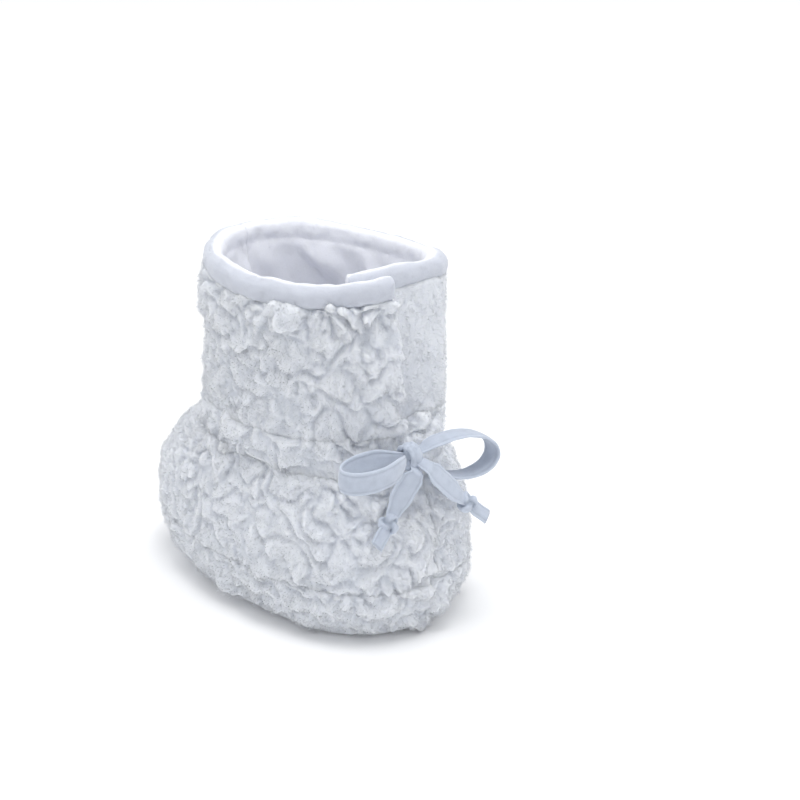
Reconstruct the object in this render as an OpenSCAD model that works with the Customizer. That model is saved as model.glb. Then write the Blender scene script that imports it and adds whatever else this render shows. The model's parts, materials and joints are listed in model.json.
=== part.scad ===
// Baby bootie of sherpa fleece with a soft lining, a wrapped leg and a ribbon bow.
// Frame: origin on the ground under the leg's axis, toe towards -Y, wearer's left towards +X, +Z up.
// Angles round the leg start at the toe and grow towards the wearer's left.

/* [Foot] */
// From the leg's axis to the toe's tip
toe_reach = 48.5; // [47:0.5:58]
// From the leg's axis to the heel's tip
heel_reach = 59.5; // [52:0.5:62]
// Half of the foot's width
foot_half_width = 33; // [31:0.5:40]
// Height of the foot's fullest level
full_z = 21; // [18:1:25]
// How far the flat sole stays inside the toe, heel and sides
sole_inset = 14; // [10:1:17]

/* [Ankle and leg] */
// Height of the pinched ankle at the leg's axis
ankle_z = 52; // [48:1:56]
// From the leg's axis to the front of the ankle
ankle_front = 37; // [34:1:38]
// From the leg's axis to the back of the ankle
ankle_back = 32; // [30:1:37]
// Half of the ankle's width
ankle_half_width = 24; // [23:1:28]
// How far the leg swells out past the ankle
leg_swell = 3; // [1:0.5:5]
// Extra swell of the leg's sides
side_swell = 2; // [0:0.5:3]
// Height of the rim at the leg's axis
rim_z = 108; // [100:1:116]
// Rise of the ankle seam towards the toe, per millimetre
ankle_slope = 0.04; // [0:0.02:0.1]
// Rise of the rim towards the toe, per millimetre
rim_slope = 0.06; // [-0.06:0.01:0.08]
// Rise of the rim towards the wearer's right, per millimetre
rim_side_slope = 0.03; // [0:0.01:0.1]
// How far the rim dips at both sides
rim_dip = 3; // [0:0.5:4]

/* [Fabric] */
// Thickness of the fleece, without the tips of its pile
fleece_t = 3.8; // [3:0.2:4.4]
// Thickness of the lining
lining_t = 1.0; // [0.8:0.1:1.4]
// Thickness of the wadding under the foot
wadding_t = 3; // [2:0.5:4]
// Thickness of the hook tape and of the loop tape
tape_t = 0.7; // [0.5:0.1:1]
// Height of the rolled cuff
cuff_h = 6.5; // [5:0.5:8]

/* [Bow] */
// Width of the ribbon
ribbon_w = 7; // [5:0.2:7.6]
// Thickness of the ribbon
ribbon_t = 1.3; // [0.9:0.1:1.6]
// Length of the loop on the wearer's right
right_loop_len = 24; // [20:1:28]
// Length of the loop on the wearer's left
left_loop_len = 29; // [24:1:34]

/* [Hidden] */

fleece_colour = [0.91, 0.92, 0.93];
lining_colour = [0.90, 0.90, 0.97];
ribbon_colour = [0.87, 0.90, 0.94];
thread_colour = [0.95, 0.95, 0.95];
tape_colour = [0.93, 0.93, 0.95];

layer_gap = 0.3;       // air between two layers
thread_r = 0.28;
elastic_t = 0.8;
fullness = 2.3;        // exponent of the plan outline, 2 is an ellipse
toe_flare = 0.06;      // how much wider the toe's half is than the heel's
ring_step = 7.5;       // degrees between the points of a ring
swell_h = 9;           // height over which the leg swells out of the ankle

// Extents are [front, back, half width]: at the fullest level, on the ground, at the ankle, up the leg.
full = [toe_reach, heel_reach, foot_half_width];
ground = full - sole_inset * [0.65, 1.35, 0.72];
neck = [ankle_front, ankle_back, ankle_half_width];
leg = neck + [leg_swell, leg_swell, leg_swell + side_swell];

lining_in = fleece_t + layer_gap;
lining_out = lining_in + lining_t;
hook_in = lining_out + 0.2;
loop_in = hook_in + tape_t + 0.1;
tuck_depth = loop_in + tape_t + 0.2;

sole_edge_u = -14;     // profile angle of the outsole's upper edge
upper_edge_u = 64;     // profile angle of the foot panels' upper edge
sole_seam_u = 2.6;     // profile angle between the outsole and the foot panels
upper_round = 1.3;     // how round the foot is above its fullest level, 1 is an ellipse
leg_z = ankle_z + 9;   // lower edge of the leg panels at the leg's axis
top_z = rim_z - cuff_h; // upper edge of the leg panels
tab_phi = -36;         // free edge of the underlap
fold_foot_phi = -18;   // where the flap's fold starts, at the free edge
fold_foot_z = leg_z + 7;
fold_rim_phi = -84;    // where the flap's fold meets the rim
fold_gap = 0.2;        // half of the gap along the flap's fold

// ---- Profiles: a level is [extents, height at the leg's axis, rise per millimetre towards the toe,
// rise per millimetre towards the wearer's right, dip per square millimetre towards both sides]

// u is the profile angle: -90 at the sole, 0 at the fullest level, 90 at the ankle.
function foot_level(u, inset) = u < 0
    ? [ground + (full - ground - inset * [1, 1, 1]) * cos(u),
        inset + (full_z - inset) * (1 + sin(u)), 0, 0, 0]
    : [neck - inset * [1, 1, 1] + (full - neck) * pow(cos(u), upper_round),
        full_z + (ankle_z - full_z - inset) * sin(u), ankle_slope * pow(sin(u), 2), 0, 0];

function leg_level(z, inset) =
    let (swell = sqrt(1 - pow(1 - min(1, (z - ankle_z) / swell_h), 2)),
        share = (z - ankle_z) / (rim_z - ankle_z))
    [neck + (leg - neck) * swell - inset * [1, 1, 1], z, ankle_slope + (rim_slope - ankle_slope) * share,
        rim_side_slope * share, rim_dip * share / pow(leg[2], 2)];

function signed_power(v, e) = sign(v) * pow(abs(v), e);

// The point of a level at angle phi.
function on_level(level, phi) =
    let (e = 2 / fullness, c = cos(phi), s = sin(phi),
        x = level[0][2] * (1 + toe_flare * c) * signed_power(s, e),
        y = -(c > 0 ? level[0][0] : level[0][1]) * signed_power(c, e))
    [x, y, level[1] - level[2] * y - level[3] * x - level[4] * x * x];

function pushed_in(level, depth) = [level[0] - depth * [1, 1, 1], level[1], level[2], level[3], level[4]];

function ease(t) = let (c = max(0, min(1, t))) c * c * (3 - 2 * c);

// The left half goes under the flap at the front and comes back out towards the wearer's left.
function tuck_share(phi) = ease((45 - phi) / 45);
function step_share(phi) = ease((phi + 15) / 9) * tuck_share(phi);

function spread(a, b, n) = [for (i = [0:n]) a + (b - a) * i / n];
function ring(level, phis) = [for (phi = phis) on_level(level, phi)];
function whole_turn() = [for (a = [-180:ring_step:180 - ring_step]) a];
function unit(v) = v / norm(v);

// ---- Solids from grids of points. Rows run upwards, columns run with growing phi.

function quad(a, b, c, d) = [[a, b, c], [a, c, d]];
function join(lists) = [for (l = lists) for (item = l) item];

// A patch with an outer and an inner face, closed along its four edges.
module panel(outer, inner) {
    rows = len(outer);
    cols = len(outer[0]);
    in0 = rows * cols;
    function o(i, j) = i * cols + j;
    function n(i, j) = in0 + i * cols + j;
    polyhedron(points = concat(join(outer), join(inner)), faces = join(concat(
        [for (i = [0:rows - 2]) for (j = [0:cols - 2])
            quad(o(i, j), o(i + 1, j), o(i + 1, j + 1), o(i, j + 1))],
        [for (i = [0:rows - 2]) for (j = [0:cols - 2])
            quad(n(i, j), n(i, j + 1), n(i + 1, j + 1), n(i + 1, j))],
        [for (j = [0:cols - 2])
            quad(o(rows - 1, j), n(rows - 1, j), n(rows - 1, j + 1), o(rows - 1, j + 1))],
        [for (j = [0:cols - 2]) quad(o(0, j), o(0, j + 1), n(0, j + 1), n(0, j))],
        [for (i = [0:rows - 2]) quad(n(i, 0), n(i + 1, 0), o(i + 1, 0), o(i, 0))],
        [for (i = [0:rows - 2])
            quad(o(i, cols - 1), o(i + 1, cols - 1), n(i + 1, cols - 1), n(i, cols - 1))])));
}

// A closed sleeve. With a floor it is a bowl, closed at its lowest row.
module sleeve(outer, inner, floor = false) {
    rows = len(outer);
    cols = len(outer[0]);
    in0 = rows * cols;
    function o(i, j) = i * cols + j % cols;
    function n(i, j) = in0 + i * cols + j % cols;
    base = floor
        ? [[[for (j = [0:cols - 1]) o(0, j)]], [[for (j = [cols - 1:-1:0]) n(0, j)]]]
        : [for (j = [0:cols - 1]) quad(o(0, j), o(0, j + 1), n(0, j + 1), n(0, j))];
    polyhedron(points = concat(join(outer), join(inner)), faces = join(concat(
        [for (i = [0:rows - 2]) for (j = [0:cols - 1])
            quad(o(i, j), o(i + 1, j), o(i + 1, j + 1), o(i, j + 1))],
        [for (i = [0:rows - 2]) for (j = [0:cols - 1])
            quad(n(i, j), n(i, j + 1), n(i + 1, j + 1), n(i + 1, j))],
        [for (j = [0:cols - 1])
            quad(o(rows - 1, j), n(rows - 1, j), n(rows - 1, j + 1), o(rows - 1, j + 1))],
        base)));
}

// A bar whose sections are closed outlines, one after another along a path.
module loft(sections) {
    rows = len(sections);
    cols = len(sections[0]);
    function at(i, j) = i * cols + j % cols;
    polyhedron(points = join(sections), faces = join(concat(
        [for (i = [0:rows - 2]) for (j = [0:cols - 1])
            quad(at(i, j), at(i + 1, j), at(i + 1, j + 1), at(i, j + 1))],
        [[[for (j = [0:cols - 1]) at(0, j)]], [[for (j = [cols - 1:-1:0]) at(rows - 1, j)]]])));
}

// A ribbon along a path, with a direction and a width across it at each point.
module ribbon(path, across, widths) {
    last = len(path) - 1;
    loft([for (i = [0:last])
        let (t = unit(path[min(i + 1, last)] - path[max(i - 1, 0)]),
            a = unit(across[i]) * widths[i] / 2,
            b = unit(cross(t, across[i])) * ribbon_t / 2)
        [path[i] - a - b, path[i] + a - b, path[i] + a + b, path[i] - a + b]]);
}

module stitch(p, q) {
    v = q - p;
    translate(p) rotate([0, acos(v[2] / norm(v)), atan2(v[1], v[0])])
        cylinder(h = norm(v), r = thread_r, $fn = 16);
}

// Separate stitches along a line of points, each a little shorter than its step.
stitch_rest = 0.15;
module stitches(points) {
    for (i = [0:len(points) - 2]) {
        rest = (points[i + 1] - points[i]) * stitch_rest;
        stitch(points[i] + rest, points[i + 1] - rest);
    }
}

// ---- The sole and the foot

module outsole() {
    us = spread(-90, sole_edge_u, 5);
    color(fleece_colour) sleeve(
        [for (u = us) ring(foot_level(u, 0), whole_turn())],
        [for (u = us) ring(foot_level(u, fleece_t), whole_turn())], floor = true);
}

// A flat layer inside the foot, with the sole's outline.
module sole_layer(z, thickness, margin) {
    outline = [for (p = ring([ground + margin * [1, 1, 1], 0, 0, 0, 0], whole_turn())) [p[0], p[1]]];
    translate([0, 0, z]) linear_extrude(thickness) polygon(outline);
}

module sole_wadding() color("white") sole_layer(fleece_t + 0.2, wadding_t, 0);
module insole() color(lining_colour) sole_layer(fleece_t + wadding_t + 0.4, lining_t, 1);

// One side of the foot, from the toe seam to the heel seam.
module upper(side) {
    us = spread(sole_edge_u + sole_seam_u, upper_edge_u, 8);
    edge = 0.6;
    phis = side > 0 ? spread(edge, 180 - edge, 24) : spread(edge - 180, -edge, 24);
    color(fleece_colour) panel(
        [for (u = us) ring(foot_level(u, 0), phis)],
        [for (u = us) ring(foot_level(u, fleece_t), phis)]);
}

module foot_lining() {
    floor_z = fleece_t + wadding_t + lining_t + 0.7;
    lowest_u = asin(floor_z / (full_z - lining_out) - full_z / (full_z - lining_out));
    us = spread(lowest_u, upper_edge_u, 8);
    color(lining_colour) sleeve(
        [for (u = us) ring(foot_level(u, lining_in), whole_turn())],
        [for (u = us) ring(foot_level(u, lining_out), whole_turn())]);
}

// ---- The gathered ankle: foot levels up to the pinch, then leg levels above it

// A ring of the ankle above the pinch, which goes in with the underlap.
function ankle_row(z, inset) = [for (phi = whole_turn())
    on_level(pushed_in(leg_level(z, inset),
        step_share(phi) * tuck_depth * ease((z - ankle_z) / (leg_z - ankle_z))), phi)];

module ankle_ring(inset_a, inset_b) {
    us = [upper_edge_u + 1.4, 74, 83, 90];
    zs = [ankle_z + 1.5, ankle_z + 3.5, ankle_z + 5.5, leg_z - 0.4];
    function rows(inset) = concat(
        [for (u = us) ring(foot_level(u, inset), whole_turn())], [for (z = zs) ankle_row(z, inset)]);
    sleeve(rows(inset_a), rows(inset_b));
}

module ankle_gather() color(fleece_colour) ankle_ring(0, fleece_t);

module ankle_lining() {
    inset = fleece_t + elastic_t + 2 * layer_gap;
    color(lining_colour) ankle_ring(inset, inset + lining_t);
}

// A knitted band between the fleece and the lining, just above the pinch.
module ankle_elastic() {
    zs = [ankle_z + 1.5, ankle_z + 3.5];
    function band(inset) = [for (z = zs) ankle_row(z, inset)];
    color("white") sleeve(band(fleece_t + layer_gap), band(fleece_t + layer_gap + elastic_t));
}

// ---- The leg: two halves that meet at the back and wrap over each other at the front

// The flap's free edge leans back a little towards the rim.
function free_phi(z) = -5 - 7 * (z - leg_z) / (rim_z - leg_z);

fold_a = on_level(leg_level(fold_foot_z, 0), fold_foot_phi);
fold_b = on_level(leg_level(rim_z, 0), fold_rim_phi);
fold_axis = unit(fold_b - fold_a);
fold_mid_phi = (fold_foot_phi + fold_rim_phi) / 2;
fold_normal = unit(cross(fold_axis, [sin(fold_mid_phi), -cos(fold_mid_phi), 0]));
fold_side = sign((on_level(leg_level(rim_z, 0), free_phi(rim_z)) - fold_a) * fold_normal);
fold_out = unit(cross(fold_normal * fold_side, fold_axis));

// Distance of a point past the fold's plane, on the side of the flap.
function past_fold(p) = (p - fold_a) * fold_normal * fold_side;

// The angle at which a level meets the fold's plane, moved by an offset, or the free edge below the fold.
function fold_phi(level, offset, low = -150, high = undef, n = 18) =
    let (end = high == undef ? free_phi(level[1]) : high)
    high == undef && past_fold(on_level(level, end)) < offset ? end
    : n == 0 ? (low + end) / 2
    : let (mid = (low + end) / 2)
        past_fold(on_level(level, mid)) > offset
            ? fold_phi(level, offset, low, mid, n - 1) : fold_phi(level, offset, mid, end, n - 1);

leg_rows = concat(spread(leg_z, fold_foot_z + 3, 4), spread(fold_foot_z + 6, top_z, 5));
flap_rows = concat([fold_foot_z + 3], spread(fold_foot_z + 6, top_z, 5));
back_edge = 0.7;

module right_half(inset_a, inset_b) {
    function row(z, inset) = let (level = leg_level(z, inset))
        ring(level, spread(back_edge - 180, fold_phi(level, -fold_gap), 22));
    panel([for (z = leg_rows) row(z, inset_a)], [for (z = leg_rows) row(z, inset_b)]);
}

module flap(inset_a, inset_b) {
    function row(z, inset) = let (level = leg_level(z, inset))
        ring(level, spread(fold_phi(level, fold_gap), free_phi(z), 9));
    panel([for (z = flap_rows) row(z, inset_a)], [for (z = flap_rows) row(z, inset_b)]);
}

// The left half, pushed in under the flap.
function tucked_point(level, phi) = on_level(pushed_in(level, tuck_share(phi) * tuck_depth), phi);

module left_half(inset_a, inset_b) {
    zs = spread(leg_z, top_z, 7);
    function row(z, inset) = let (level = leg_level(z, inset))
        [for (phi = spread(tab_phi, 180 - back_edge, 28)) tucked_point(level, phi)];
    panel([for (z = zs) row(z, inset_a)], [for (z = zs) row(z, inset_b)]);
}

module leg_right() color(fleece_colour) right_half(0, fleece_t);
module leg_left() color(fleece_colour) left_half(0, fleece_t);
module leg_lining_right() color(lining_colour) right_half(lining_in, lining_out);
module leg_lining_left() color(lining_colour) left_half(lining_in, lining_out);
module flap_panel() color(fleece_colour) flap(0, fleece_t);
module flap_lining() color(lining_colour) flap(lining_in, lining_out);

// ---- The cuff: the lining rolled over the rim

// The roll's section is an oval that caps the fleece and the lining. a is the angle round it.
cuff_half = [lining_out / 2, (cuff_h - layer_gap) / 2];
function cuff_level(a) = leg_level(top_z + layer_gap + cuff_half[1] * (1 + signed_power(sin(a), 0.75)),
    cuff_half[0] * (1 - signed_power(cos(a), 0.75)));
cuff_angles = [0:30:330];

// Sections from one angle to another, where either end may follow the fold.
module cuff_strip(n, from, to) {
    loft([for (i = [0:n]) [for (k = [0:len(from) - 1])
        on_level(cuff_level(30 * k), from[k] + (to[k] - from[k]) * i / n)]]);
}

function cuff_fold(offset) = [for (a = cuff_angles) fold_phi(cuff_level(a), offset)];
function all_at(phi) = [for (a = cuff_angles) phi];

module cuff_right() color(lining_colour) cuff_strip(14, all_at(back_edge - 180), cuff_fold(-fold_gap));
module flap_cuff() color(lining_colour) cuff_strip(10, cuff_fold(fold_gap), all_at(free_phi(rim_z)));
module cuff_left() color(lining_colour)
    loft([for (phi = spread(tab_phi, 180 - back_edge, 28))
        [for (a = cuff_angles) tucked_point(cuff_level(a), phi)]]);

// ---- The closure: hook tape inside the flap, loop tape on the underlap

tape_low = top_z - 17;
tape_high = top_z - 3;
tape_phis = [-33, -19];
tape_margin_phi = 1.6; // from a tape's edge to its stitches
function tape_row(z, inset) = ring(leg_level(z, inset), spread(tape_phis[0], tape_phis[1], 4));
function tape_grid(inset) = [for (z = spread(tape_low, tape_high, 3)) tape_row(z, inset)];

module hook_tape() color(tape_colour) panel(tape_grid(hook_in), tape_grid(hook_in + tape_t));
module loop_tape() color(tape_colour) panel(tape_grid(loop_in), tape_grid(loop_in + tape_t));

// ---- Threads

module sole_seam_thread() {
    u = sole_edge_u + sole_seam_u / 2;
    points = ring(foot_level(u, 0.6), [for (a = [0:ring_step:360]) a]);
    color(thread_colour) stitches(points);
}

module toe_seam_thread() color(thread_colour)
    stitches([for (u = spread(sole_edge_u + 6, upper_edge_u - 3, 12)) on_level(foot_level(u, 0.7), 0)]);

module heel_seam_thread() color(thread_colour)
    stitches([for (u = spread(sole_edge_u + 6, upper_edge_u - 3, 12)) on_level(foot_level(u, 0.7), 180)]);

module back_seam_thread() color(thread_colour)
    stitches([for (z = spread(leg_z + 1, top_z - 1, 12)) on_level(leg_level(z, 0.7), 180)]);

// Rows of stitches beside a tape's two upright edges.
module tape_thread(inset) {
    for (phi = tape_phis + tape_margin_phi * [-1, 1])
        stitches([for (z = spread(tape_low, tape_high, 6)) on_level(leg_level(z, inset), phi)]);
}

module tape_thread_hook() color(thread_colour) tape_thread(hook_in + 0.3);
module tape_thread_loop() color(thread_colour) tape_thread(loop_in + 0.35);

// ---- The bow

knot_at = [-7.4, -(ankle_front + 7.4), ankle_z + 6];
knot_r = 2.9;
knot_h = 7;

// The ribbon's turn round the middle of the bow.
module bow_knot() color(ribbon_colour) translate(knot_at - [0, 0, knot_h / 2]) rotate_extrude($fn = 48)
    polygon([[0, 0], [knot_r - 1, 0], [knot_r - 0.3, 0.8], [knot_r, knot_h / 2],
        [knot_r - 0.3, knot_h - 0.8], [knot_r - 1, knot_h], [0, knot_h]]);

// The stitches that hold the bow to the ankle.
module bow_tack_thread() {
    gather_y = on_level(leg_level(ankle_z + 5.5, 0), -8)[1];
    color(thread_colour) for (dz = [-2.4, -1.2, 0])
        stitch([knot_at[0], knot_at[1] + knot_r + 0.15, knot_at[2] + dz],
            [knot_at[0], gather_y - 0.5, knot_at[2] + dz]);
}

// A loop leaves its root, swings round and comes back. a is the angle round it.
function loop_point(root, along, open, length, half_open, a) =
    root + along * length * (1 - cos(a)) / 2 + open * half_open * sin(a) * sqrt(sin(a / 2));

// The ribbon is gathered where it enters the bow's knot.
pinch_share = 0.5;
pinch_reach = 9;

module bow_loop(root, along, open, length, half_open) {
    path = [for (a = [32:12.3:328]) loop_point(root, along, open, length, half_open, a)];
    color(ribbon_colour) ribbon(path, [for (p = path) cross(along, open)],
        [for (p = path) ribbon_w * (pinch_share + (1 - pinch_share) * ease(norm(p - root) / pinch_reach))]);
}

right_along = unit([-1, -0.02, 0.02]);
left_along = unit([1, -0.14, -0.25]);
right_root = knot_at + right_along * (knot_r - 0.6);
left_root = knot_at + left_along * (knot_r - 0.6);

// The right loop lies flat, with its ribbon on edge. The left one stands up, with its ribbon level.
right_open = unit(cross(right_along, [0, 0, 1]));
left_open = unit(cross(left_along, cross([0, 0, 1], left_along)));
right_half_open = 6.6;
left_half_open = 7.4;
module bow_loop_right() bow_loop(right_root, right_along, right_open, right_loop_len, right_half_open);
module bow_loop_left() bow_loop(left_root, left_along, left_open, left_loop_len, left_half_open);

// A tail bends down from the bow over the vamp, ends at a knot and leaves it with a short end.
tail_knot_r = 3.1;
tail_gap = 0.4;
end_len = 5;

function bend(path, t) = pow(1 - t, 2) * path[0] + 2 * t * (1 - t) * path[1] + t * t * path[2];

// A point over the vamp, from its profile angle, its height over the fleece and its angle round the foot.
function over_vamp(u, height, phi) = on_level(foot_level(u, -height), phi);

right_tail_knot = over_vamp(33, 4.2, -25);
left_tail_knot = over_vamp(31, 6.6, 9);
right_tail_path = [knot_at + [-1.2, -4.2, -3.4], over_vamp(50, 3.6, -16), right_tail_knot];
left_tail_path = [knot_at + [2, -5.9, -2.3],
    [right_tail_path[1][0] + 12, knot_at[1] - 8.4, ankle_z - 4], left_tail_knot];
right_end_along = unit([-1, -0.3, -0.55]);
left_end_along = unit([0.75, -0.35, -0.75]);

function tail_across(path, t) = cross(bend(path, t + 0.02) - bend(path, t), [path[2][0] / 60, -1, 0.5]);

module tail(path) {
    last_t = 1 - (tail_knot_r + tail_gap) / (2 * norm(path[2] - path[1]));
    ts = spread(0, last_t, 12);
    color(ribbon_colour) ribbon([for (t = ts) bend(path, t)], [for (t = ts) tail_across(path, t)],
        [for (t = ts) ribbon_w * (0.6 + 0.4 * ease(6 * t) - 0.35 * ease(4 * (t - last_t + 0.25)))]);
}

module tail_knot(path) color(ribbon_colour) translate(path[2]) sphere(r = tail_knot_r, $fn = 40);

module tail_end(path, along) {
    steps = spread(tail_knot_r + tail_gap, tail_knot_r + tail_gap + end_len, 3);
    color(ribbon_colour) ribbon([for (d = steps) path[2] + along * d],
        [for (d = steps) cross(along, [0, -1, 0.5])], [for (d = steps) ribbon_w * 0.65]);
}

module tail_right() tail(right_tail_path);
module tail_left() tail(left_tail_path);
module tail_knot_right() tail_knot(right_tail_path);
module tail_knot_left() tail_knot(left_tail_path);
module tail_end_right() tail_end(right_tail_path, right_end_along);
module tail_end_left() tail_end(left_tail_path, left_end_along);

// ---- Facts for the joints, in millimetres

fold_bulge = max([for (z = leg_rows) let (level = leg_level(z, 0))
    (on_level(level, fold_phi(level, 0)) - fold_a) * fold_out]);
echo(ankle_height = ankle_z);
echo(fold_pos = fold_a + fold_out * (fold_bulge + 0.4), fold_axis = fold_axis);
echo(tail_root_right = right_tail_path[0], tail_root_left = left_tail_path[0]);
echo(right_root = right_root, left_root = left_root);

outsole();
sole_wadding();
insole();
upper(-1);  // upper_right
upper(1);  // upper_left
foot_lining();
ankle_gather();
ankle_lining();
ankle_elastic();
leg_right();
leg_left();
leg_lining_right();
leg_lining_left();
cuff_right();
cuff_left();
flap_panel();
flap_lining();
flap_cuff();
hook_tape();
loop_tape();
sole_seam_thread();
toe_seam_thread();
heel_seam_thread();
back_seam_thread();
tape_thread_hook();
tape_thread_loop();
bow_knot();
bow_tack_thread();
bow_loop_right();
bow_loop_left();
tail_right();
tail_left();
tail_knot_right();
tail_knot_left();
tail_end_right();
tail_end_left();
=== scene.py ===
"""The looks of a baby bootie of matted fleece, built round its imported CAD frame. Lengths are in metres."""

import itertools
import json
import math

import bmesh
import bpy
import numpy as np
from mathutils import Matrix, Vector


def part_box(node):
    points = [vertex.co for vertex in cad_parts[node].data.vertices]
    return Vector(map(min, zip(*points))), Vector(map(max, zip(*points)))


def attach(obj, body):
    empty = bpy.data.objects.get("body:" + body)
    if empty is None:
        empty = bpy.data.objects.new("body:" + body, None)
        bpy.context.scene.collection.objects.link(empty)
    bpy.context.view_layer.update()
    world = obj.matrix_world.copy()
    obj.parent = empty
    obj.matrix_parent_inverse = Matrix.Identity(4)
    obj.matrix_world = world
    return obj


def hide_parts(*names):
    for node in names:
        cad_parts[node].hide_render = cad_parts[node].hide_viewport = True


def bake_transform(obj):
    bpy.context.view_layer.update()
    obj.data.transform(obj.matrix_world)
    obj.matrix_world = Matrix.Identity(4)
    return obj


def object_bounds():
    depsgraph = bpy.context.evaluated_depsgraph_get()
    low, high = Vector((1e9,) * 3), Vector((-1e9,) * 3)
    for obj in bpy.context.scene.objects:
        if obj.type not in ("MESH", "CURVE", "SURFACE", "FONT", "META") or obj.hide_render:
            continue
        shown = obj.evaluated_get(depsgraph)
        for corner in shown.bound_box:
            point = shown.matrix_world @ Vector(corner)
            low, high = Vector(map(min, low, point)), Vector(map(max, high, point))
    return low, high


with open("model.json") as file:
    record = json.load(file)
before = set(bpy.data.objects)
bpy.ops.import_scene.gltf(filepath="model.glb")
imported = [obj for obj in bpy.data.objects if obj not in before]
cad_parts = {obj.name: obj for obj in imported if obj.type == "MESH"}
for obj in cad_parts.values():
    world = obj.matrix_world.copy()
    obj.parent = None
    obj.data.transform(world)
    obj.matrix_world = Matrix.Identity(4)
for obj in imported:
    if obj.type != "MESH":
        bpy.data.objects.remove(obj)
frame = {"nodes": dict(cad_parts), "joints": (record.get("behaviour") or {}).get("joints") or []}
cad_low, cad_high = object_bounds()

MM = 0.001
UP = np.array([0.0, 0.0, 1.0])


# ---- Small helpers for points and meshes


def unit(v):
    """Rows of v, or v itself, at length 1."""
    return v / np.maximum(np.linalg.norm(v, axis=-1, keepdims=True), 1e-12)


def smoothstep(low, high, x):
    t = np.clip((x - low) / (high - low), 0, 1)
    return t * t * (3 - 2 * t)


def box(*nodes):
    """Lowest and highest corner of several CAD nodes together."""
    corners = [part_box(n) for n in nodes]
    return np.min([c[0] for c in corners], axis=0), np.max([c[1] for c in corners], axis=0)


def points_of(obj):
    co = np.empty(len(obj.data.vertices) * 3, np.float32)
    obj.data.vertices.foreach_get("co", co)
    return co.reshape(-1, 3).astype(float)


def normals_of(obj):
    no = np.empty(len(obj.data.vertices) * 3, np.float32)
    obj.data.vertex_normals.foreach_get("vector", no)
    return no.reshape(-1, 3).astype(float)


def set_points(obj, co):
    obj.data.vertices.foreach_set("co", co.astype(np.float32).ravel())
    obj.data.update()


def new_object(name, vertices, faces):
    mesh = bpy.data.meshes.new(name)
    mesh.from_pydata([tuple(v) for v in vertices], [], faces)
    mesh.update()
    obj = bpy.data.objects.new(name, mesh)
    bpy.context.scene.collection.objects.link(obj)
    return obj


def with_modifier(obj, kind, **settings):
    """Adds a modifier, applies it and returns the object."""
    modifier = obj.modifiers.new(kind, kind)
    for key, value in settings.items():
        setattr(modifier, key, value)
    return applied(obj)


def applied(obj):
    bpy.context.view_layer.update()
    done = bpy.data.meshes.new_from_object(obj.evaluated_get(bpy.context.evaluated_depsgraph_get()))
    obj.modifiers.clear()
    old, obj.data = obj.data, done
    bpy.data.meshes.remove(old)
    return obj


def copy_nodes(name, *nodes):
    """One object from copies of CAD nodes, with the vertices of each welded."""
    vertices, faces = [], []
    for n in nodes:
        mesh = frame["nodes"][n].data
        start = len(vertices)
        vertices += [tuple(v.co) for v in mesh.vertices]
        faces += [[start + i for i in p.vertices] for p in mesh.polygons]
    return with_modifier(new_object(name, vertices, faces), "WELD", merge_threshold=0.01 * MM)


def store(obj, name, values):
    """Keeps one number per vertex for the material."""
    attribute = obj.data.attributes.new(name, "FLOAT", "POINT")
    attribute.data.foreach_set("value", values.astype(np.float32))


def joined(obj, *others):
    with bpy.context.temp_override(active_object=obj, object=obj, selected_objects=[obj, *others],
                                   selected_editable_objects=[obj, *others]):
        bpy.ops.object.join()
    return obj


def finished(obj, surface, slot, body, *nodes):
    """Dresses a piece, lets it stand for its CAD nodes and ties it to its body, if it is given one."""
    obj.data.shade_smooth()
    obj.data.materials.clear()
    obj.data.materials.append(surface)
    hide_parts(*nodes)
    if body:
        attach(obj, body)
    print(obj.name, len(obj.data.polygons), "faces")
    return obj


# ---- Noise: everything that looks random comes from these, so each run gives the same result


def hashed(cell, seed):
    """Numbers from 0 to 1 for rows of whole numbers."""
    n = cell[:, 0] * 374761393 + cell[:, 1] * 668265263 + cell[:, 2] * 2147483647 + seed * 1274126177
    n = n.astype(np.uint32)
    n = (n ^ (n >> np.uint32(13))) * np.uint32(1274126177)
    n = n ^ (n >> np.uint32(16))
    return (n & np.uint32(0xFFFFFF)).astype(float) / 0xFFFFFF


def waves(p, size, seed):
    """Smooth noise from -1 to 1 for rows of points, with features of about size."""
    g = p / size
    base = np.floor(g).astype(np.int64)
    f = g - base
    ease = f * f * f * (f * (f * 6 - 15) + 10)
    total = np.zeros(len(p))
    for corner in itertools.product((0, 1), repeat=3):
        slope = np.stack([hashed(base + corner, seed + 17 * k) for k in range(3)], axis=1) * 2 - 1
        total += np.prod(np.where(corner, ease, 1 - ease), axis=1) * np.sum(slope * (f - corner), axis=1)
    return np.clip(total * 1.7, -1, 1)


def wave_vectors(p, size, seed):
    return np.stack([waves(p, size, seed + k) for k in range(3)], axis=1)


def billows(p, size, seed):
    """Rounded bumps that meet in soft creases, from 0 to about 1."""
    rounding = 0.06
    return np.sqrt(waves(p, size, seed) ** 2 + rounding ** 2) - rounding


def domes(p, size, seed, lean=None):
    """Soft heaps round scattered points, from 0 to 1, and the way each one leans."""
    g = p / size
    base = np.floor(g).astype(np.int64)
    total = np.zeros(len(p))
    leaning = np.zeros((len(p), 3))
    steepness, sharpness = 1.9, 5    # of a heap's side, and of the valley between two heaps
    for offset in itertools.product((-1, 0, 1), repeat=3):
        cell = base + offset
        point = cell + np.stack([hashed(cell, seed + k) for k in range(3)], axis=1)
        tall = 0.45 + 0.55 * hashed(cell, seed + 9)
        share = (tall * np.exp(-steepness * np.sum((g - point) ** 2, axis=1))) ** sharpness
        total += share
        if lean is not None:
            towards = np.stack([hashed(cell, seed + 20 + k) for k in range(3)], axis=1) * 2 - 1
            leaning += share[:, None] * towards
    return total ** (1 / sharpness), leaning / np.maximum(total, 1e-9)[:, None]


# ---- Soft solids


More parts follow.
